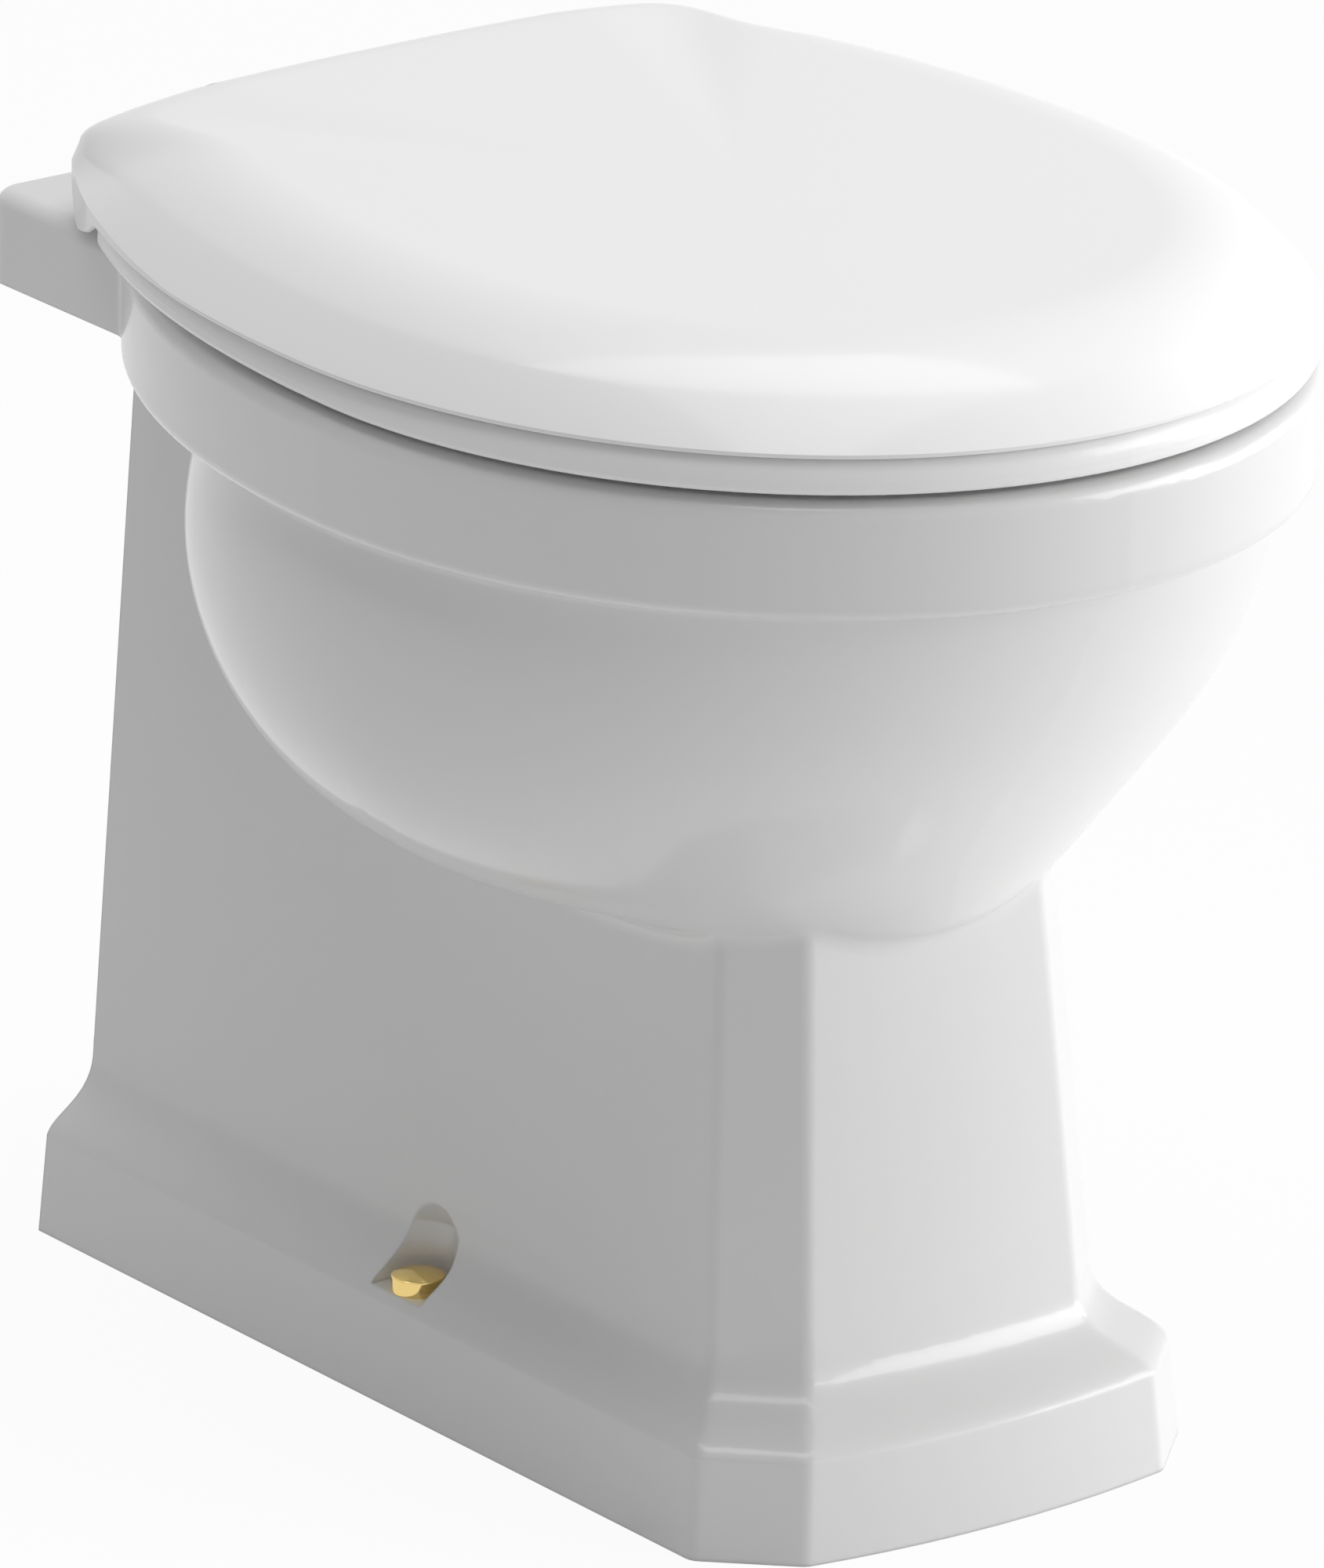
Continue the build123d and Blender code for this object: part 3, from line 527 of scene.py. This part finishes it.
BUFFER_TOP = lid_top - 23.0
for side, turned in (("right", False), ("left", True)):
    surface(f"lid_knuckle_{side}", mirrored(knuckle) if turned else knuckle, **LID_FITTINGS)
    web_piece = surface(f"lid_web_{side}", mirrored(web) if turned else web, **LID_FITTINGS)
    cut(web_piece, [mirrored(bore_tool) if turned else bore_tool])
    for place, (boss_x, boss_back) in (("front", (84.6, 437.0)), ("rear", (146.1, 150.0))):
        boss = boss_grid(boss_x, boss_back, BUFFER_TOP)
        surface(f"lid_boss_{place}_{side}", mirrored(boss) if turned else boss, **LID_FITTINGS)

# %% [markdown]
# The studio is a white floor that runs up into a white background. The floor still takes the object's
# shadow. For rays that the camera, gloss or glass sends, part of it simply glows at a strength of one, which
# is white, so the background is white without more light on the object.

# %% Floor
floor_half = 6.0
floor_mesh = bpy.data.meshes.new("floor")
corner_signs = ((-1, -1), (1, -1), (1, 1), (-1, 1))
floor_corners = [(floor_half * x_sign, floor_half * y_sign, 0) for x_sign, y_sign in corner_signs]
floor_mesh.from_pydata(floor_corners, [], [(0, 1, 2, 3)])
floor = bpy.data.objects.new("floor", floor_mesh)
bpy.context.scene.collection.objects.link(floor)


def sight_rays(tree):
    """The largest of Is Camera, Is Glossy and Is Transmission Ray, as a node with one output."""
    path = tree.nodes.new("ShaderNodeLightPath")
    first, second = tree.nodes.new("ShaderNodeMath"), tree.nodes.new("ShaderNodeMath")
    first.operation = second.operation = "MAXIMUM"
    tree.links.new(path.outputs["Is Camera Ray"], first.inputs[0])
    tree.links.new(path.outputs["Is Glossy Ray"], first.inputs[1])
    tree.links.new(first.outputs[0], second.inputs[0])
    tree.links.new(path.outputs["Is Transmission Ray"], second.inputs[1])
    return second


def white_for_sight(tree, lit, share):
    """Mixes a lit shader with plain white for camera, glossy and transmitted rays; returns the mix."""
    white = tree.nodes.new("ShaderNodeEmission")
    white.inputs["Strength"].default_value = 1.0
    amount = tree.nodes.new("ShaderNodeMath")
    amount.operation = "MULTIPLY"
    amount.inputs[1].default_value = share
    mix = tree.nodes.new("ShaderNodeMixShader")
    tree.links.new(sight_rays(tree).outputs[0], amount.inputs[0])
    tree.links.new(amount.outputs[0], mix.inputs[0])
    tree.links.new(lit.outputs[0], mix.inputs[1])
    tree.links.new(white.outputs[0], mix.inputs[2])
    return mix


floor_finish = bpy.data.materials.new("studio_floor")
floor_finish.use_nodes = True
floor_tree = floor_finish.node_tree
floor_tree.nodes.clear()
floor_lit = floor_tree.nodes.new("ShaderNodeBsdfDiffuse")
floor_lit.inputs["Color"].default_value = (0.9, 0.9, 0.9, 1.0)
floor_end = floor_tree.nodes.new("ShaderNodeOutputMaterial")
floor_tree.links.new(white_for_sight(floor_tree, floor_lit, 0.93).outputs[0], floor_end.inputs["Surface"])
floor_mesh.materials.append(floor_finish)

# %% [markdown]
# In the photograph the side turned to the left is a middle grey, the front is light and the lid is nearly
# white. So the room gives a low, even light, and three large soft lamps stand in front on the right, low on
# the right and straight above. Large lamps close by give the long soft gradients that glazed ware shows.
# Their powers were set by comparing greys at a few places with the photograph. They leave the lid's left
# slope darker than there, and the lid's right edge runs into the white background.

# %% Room light and lamps
world = bpy.data.worlds.new("studio")
bpy.context.scene.world = world
world.use_nodes = True
world_tree = world.node_tree
world_tree.nodes.clear()
room = world_tree.nodes.new("ShaderNodeBackground")
room.inputs["Color"].default_value = (1.0, 1.0, 1.0, 1.0)
room.inputs["Strength"].default_value = 0.27
backdrop = world_tree.nodes.new("ShaderNodeBackground")
backdrop.inputs["Strength"].default_value = 1.0
sight = world_tree.nodes.new("ShaderNodeMixShader")
world_end = world_tree.nodes.new("ShaderNodeOutputWorld")
world_tree.links.new(sight_rays(world_tree).outputs[0], sight.inputs[0])
world_tree.links.new(room.outputs[0], sight.inputs[1])
world_tree.links.new(backdrop.outputs[0], sight.inputs[2])
world_tree.links.new(sight.outputs[0], world_end.inputs["Surface"])


def soft_lamp(name, place, target, size, power):
    """A rectangular area lamp that faces a point."""
    lamp = bpy.data.lights.new(name, "AREA")
    lamp.shape = "RECTANGLE"
    lamp.size, lamp.size_y = size
    lamp.energy = power
    holder = bpy.data.objects.new(name, lamp)
    holder.location = place
    holder.rotation_euler = (Vector(target) - Vector(place)).to_track_quat("-Z", "Y").to_euler()
    bpy.context.scene.collection.objects.link(holder)


soft_lamp("front_lamp", (3.0, -3.2, 1.6), (0.0, 0.0, 0.25), (3.0, 2.4), 86.0)
soft_lamp("side_lamp", (2.8, -1.0, 0.42), (0.0, 0.0, 0.25), (2.0, 0.8), 36.0)
soft_lamp("top_lamp", (0.0, 0.0, 3.0), (0.0, 0.0, 0.25), (2.4, 2.4), 47.0)

# %% [markdown]
# The camera was worked out from straight edges in the photograph: the vanishing lines of the foot give the
# turn to the left and the height, and the two ends of the foot give the distance. It is a long lens from
# over six metres, so upright edges stay almost parallel.

# %% Camera
turn, lift, roll = np.radians(-37.07), np.radians(19.44), np.radians(0.69)
aim = Vector((0.0, (wall_y - 227.95) * MM, 215.05 * MM))
distance = 6.42088
photo_long_side, focal_in_pixels, sensor = 2000.0, 23326.08, 36.0
back = Vector((np.sin(turn) * np.cos(lift), -np.cos(turn) * np.cos(lift), np.sin(lift)))
camera_data = bpy.data.cameras.new("camera")
camera = bpy.data.objects.new("camera", camera_data)
bpy.context.scene.collection.objects.link(camera)
level_right = Vector((0, 0, 1)).cross(back).normalized()
level_up = back.cross(level_right)
right = level_right * float(np.cos(roll)) + level_up * float(np.sin(roll))
up = level_up * float(np.cos(roll)) - level_right * float(np.sin(roll))
turned_axes = Matrix((right, up, back)).transposed().to_4x4()
camera.matrix_world = Matrix.Translation(aim + back * distance) @ turned_axes
camera_data.sensor_width = sensor
camera_data.lens = focal_in_pixels / photo_long_side * sensor
camera_data.clip_end = 50.0
bpy.context.scene.camera = camera
bpy.context.scene.view_settings.view_transform = "Standard"
print("lens", round(camera_data.lens, 1), "mm")
